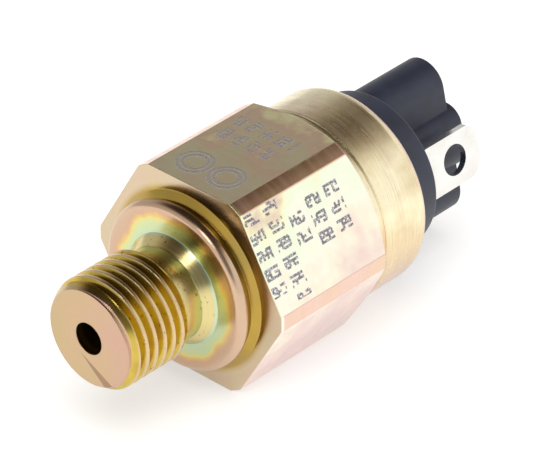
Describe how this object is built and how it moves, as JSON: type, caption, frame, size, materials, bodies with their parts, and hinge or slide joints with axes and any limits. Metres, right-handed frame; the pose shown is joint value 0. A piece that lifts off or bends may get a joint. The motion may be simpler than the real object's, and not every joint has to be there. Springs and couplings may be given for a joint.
{
  "type": "pressure switch",
  "caption": "Adjustable diaphragm pressure switch: threaded male port, sealing collar, hexagon body, rolled lip, and an insulating cap with blade tabs beside a cross wall.",
  "frame": {"origin": "centre of the sealing face, on the port's axis", "axes": "+X along the axis from the threaded port towards the blade tabs, +Z normal of the uppermost hexagon flat, +Y completes a right-handed frame; the cap is turned 13.1 degrees about X from the hexagon"},
  "size_m": [0.0562, 0.0268, 0.024],
  "materials": {
    "yellow_chromate_steel": "turned and milled steel, zinc plated with an iridescent yellow chromate",
    "diaphragm_rubber": "moulded black nitrile rubber",
    "plain_steel": "turned steel, clear zinc plated",
    "carrier_plastic": "moulded natural nylon",
    "contact_copper": "rolled spring copper",
    "contact_silver": "silver contact rivet, smooth",
    "tinned_brass": "bright tin plated blade, fine rolling marks",
    "spring_steel": "drawn spring wire, oiled",
    "insert_brass": "turned and knurled brass",
    "cap_plastic": "moulded dark blue-grey glass-filled nylon, satin"
  },
  "bodies": {
    "housing": {"body": "yellow_chromate_steel", "diaphragm": "diaphragm_rubber", "piston_guide": "plain_steel", "contact_housing": "cap_plastic", "clamp_washer": "plain_steel", "cap_seal_ring": "diaphragm_rubber", "terminal_cap": "cap_plastic", "terminal_left": "tinned_brass", "terminal_right": "tinned_brass", "fixed_contact_left": "contact_silver", "fixed_contact_right": "contact_silver", "threaded_insert": "insert_brass", "range_spring": "spring_steel"},
    "plunger": {"diaphragm_plate": "plain_steel", "piston": "plain_steel", "contact_carrier": "carrier_plastic", "contact_bridge": "contact_copper", "moving_contact_left": "contact_silver", "moving_contact_right": "contact_silver", "lower_spring_seat": "plain_steel"},
    "spring_seat": {"upper_spring_seat": "plain_steel"},
    "screw": {"adjusting_screw": "plain_steel"}
  },
  "joints": [
    {"name": "switching_stroke", "type": "slide", "parent": "housing", "child": "plunger", "axis": [1, 0, 0], "range_m": [0, 0.00075], "stiffness_N_per_m": 8000, "deforming": ["diaphragm", "range_spring"]},
    {"name": "spring_seat_slide", "type": "slide", "parent": "housing", "child": "spring_seat", "axis": [1, 0, 0], "range_m": [-0.0025, 0.001], "deforming": ["range_spring"]},
    {"name": "screw_turn", "type": "hinge", "parent": "spring_seat", "child": "screw", "pos_m": [0.035, 0, 0], "axis": [1, 0, 0], "range_deg": [-1130, 455]}
  ],
  "couplings": [
    {"joint": "screw_turn", "follows": "spring_seat_slide", "rad_per_m": 7854}
  ]
}
